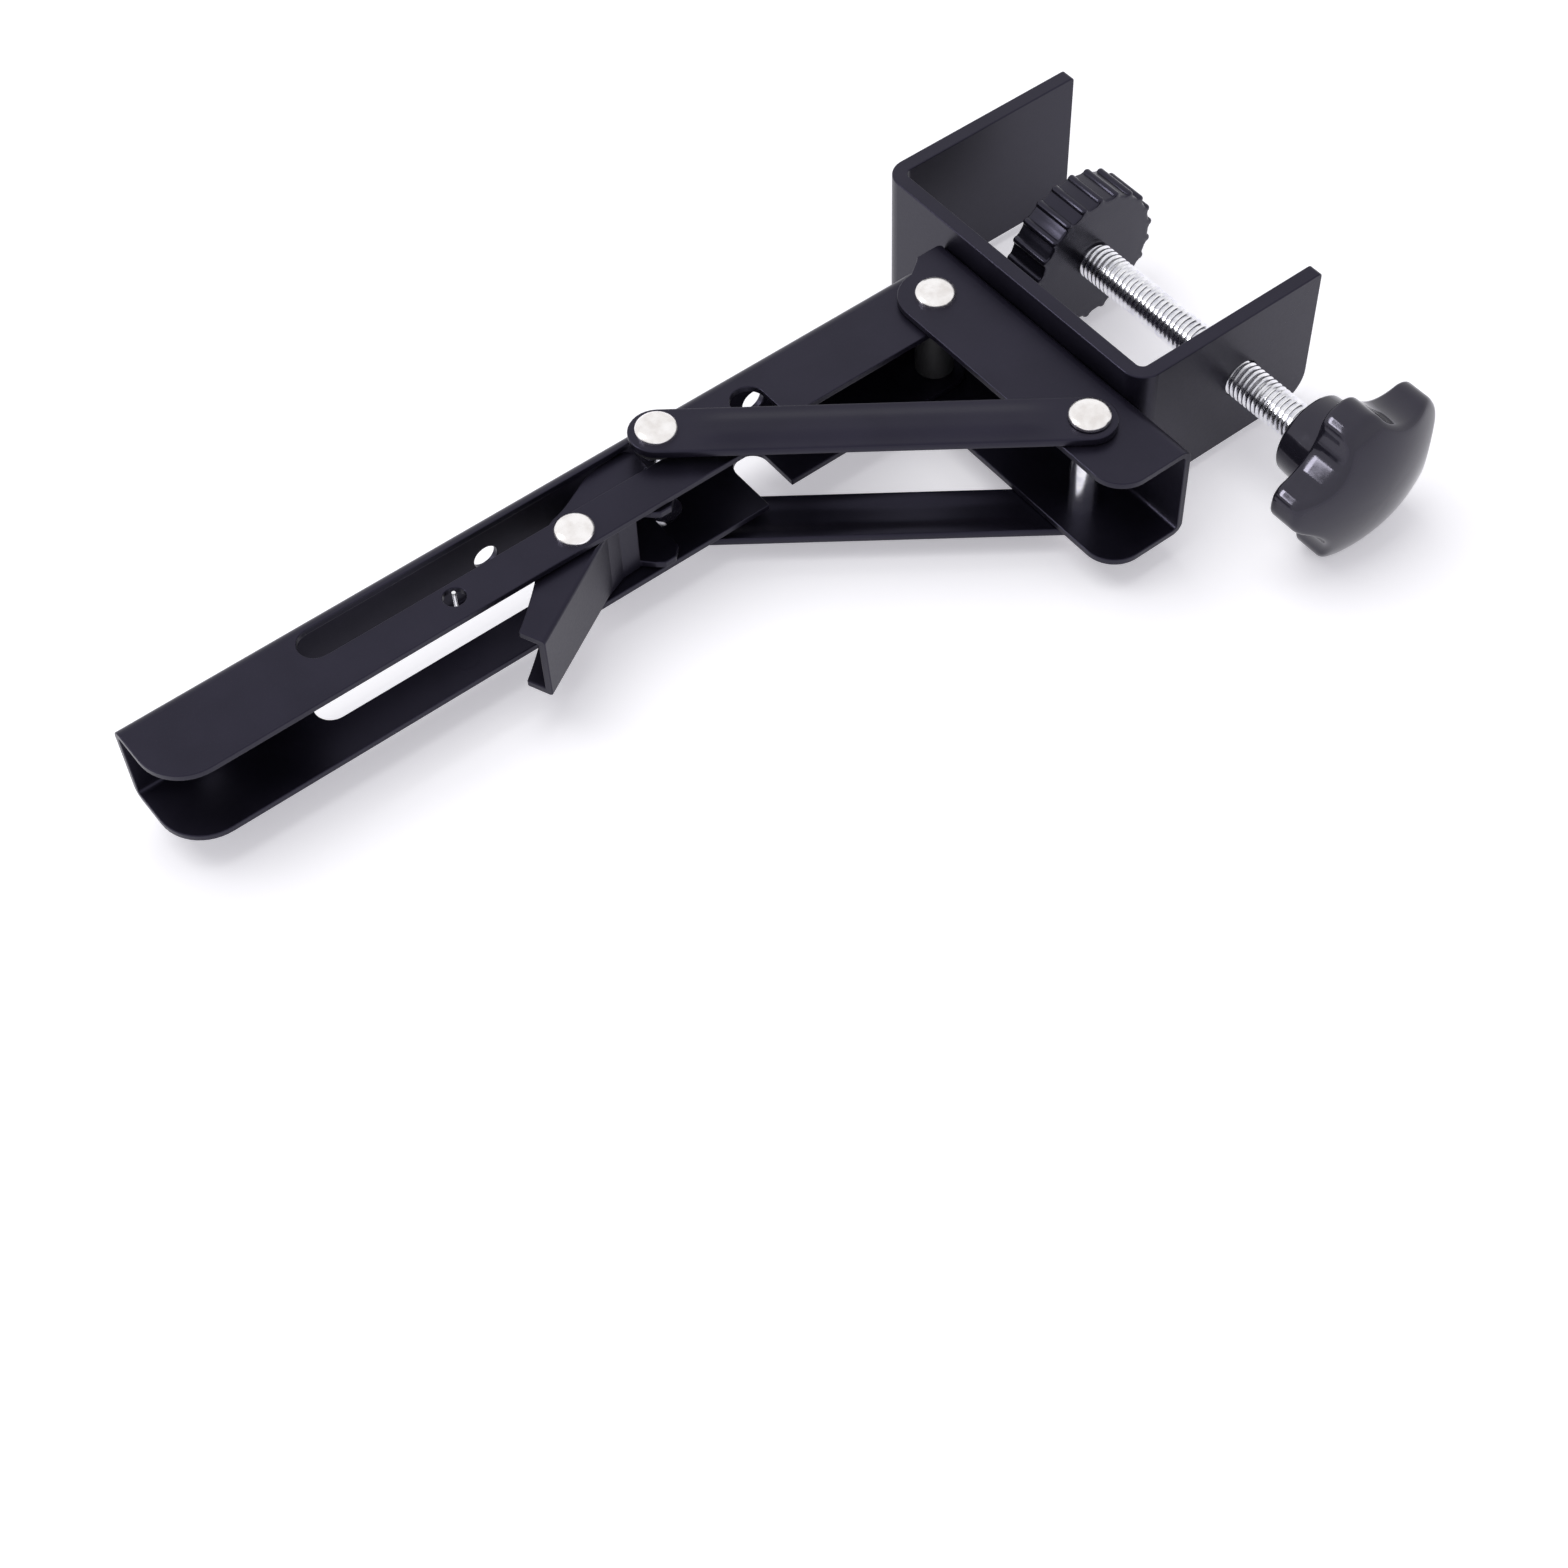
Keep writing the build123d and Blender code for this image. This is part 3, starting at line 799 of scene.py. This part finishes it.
def soften(part, width):
    """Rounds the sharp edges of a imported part, so that they catch a line of light."""
    weld = part.modifiers.new("weld", "WELD")
    weld.merge_threshold = 1e-6
    flats = part.modifiers.new("flats", "DECIMATE")
    flats.decimate_type = "DISSOLVE"
    flats.angle_limit = radians(0.5)
    edges = part.modifiers.new("edges", "BEVEL")
    edges.width = width * MM
    edges.segments = 3
    edges.limit_method = "ANGLE"
    edges.angle_limit = radians(40)
    edges.use_clamp_overlap = False
    sheen = part.modifiers.new("sheen", "WEIGHTED_NORMAL")
    sheen.keep_sharp = True


slots = {part["node"]: part["material_slot"] for part in frame["record"]["subparts"]}
for name, part in nodes.items():
    if part.hide_render:
        continue
    part.data.materials.clear()
    part.data.materials.append(finishes[slots[name]])
    if name in EDGE_WIDTHS:
        soften(part, EDGE_WIDTHS[name])


# Studio: floor, soft boxes, world and camera


def floor():
    """The pale floor, its face up towards the near side of the bracket."""
    bm = bmesh.new()
    corners = [(-1, -1), (1, -1), (1, 1), (-1, 1)]
    points = [(x * FLOOR_REACH, FLOOR_Y, z * FLOOR_REACH) for x, z in corners]
    face = bm.faces.new([bm.verts.new(point) for point in points])
    bm.normal_update()
    if face.normal.y > 0:
        face.normal_flip()
    mesh = bpy.data.meshes.new("floor")
    bm.to_mesh(mesh)
    bm.free()
    mesh.materials.append(studio_floor())
    link(mesh, "floor")


def soft_box(name, direction, distance, width, height, power):
    """A soft box that looks at the middle of the bracket from the direction given."""
    lamp = bpy.data.lights.new(name, "AREA")
    lamp.shape = "RECTANGLE"
    lamp.size = width
    lamp.size_y = height
    lamp.energy = power
    box = bpy.data.objects.new(name, lamp)
    away = Vector(direction).normalized()
    box.location = MIDDLE + away * distance
    box.rotation_euler = away.to_track_quat("Z", "Y").to_euler()
    bpy.context.scene.collection.objects.link(box)
    return box


def studio_world():
    """White where it is seen, and dimmer as a light on the bracket."""
    world = bpy.data.worlds.new("studio")
    bpy.context.scene.world = world
    sky = Shader(world)
    colour = sky.mix(seen_rays(sky), rgb(0.47, 0.47, 0.49), rgb(1, 1, 1))
    air = sky.node("ShaderNodeBackground", {}, {"Color": colour, "Strength": 1.0})
    sky.node("ShaderNodeOutputWorld", {}, {"Surface": air})


def studio_camera():
    """The camera, which looks at the bracket from the angle of the photograph."""
    view = bpy.data.cameras.new("camera")
    view.lens = LENS
    view.sensor_width = 36.0
    view.clip_start = 0.01
    camera = bpy.data.objects.new("camera", view)
    bpy.context.scene.collection.objects.link(camera)
    turn = Matrix((CAMERA_RIGHT, CAMERA_UP, CAMERA_BACK)).transposed()
    camera.matrix_world = Matrix.Translation(CAMERA_PLACE) @ turn.to_4x4()
    bpy.context.scene.camera = camera


floor()
overhead = soft_box(
    "overhead", direction=(-0.15, -0.95, 0.22), distance=1.6, width=1.3, height=1.3, power=14.0
)
overhead.visible_glossy = False
side = soft_box(
    "side", direction=(-0.714, -0.523, 0.47), distance=1.1, width=0.68, height=0.13, power=4.4
)
side.visible_diffuse = False
studio_world()
studio_camera()
bpy.context.scene.view_settings.view_transform = "Standard"
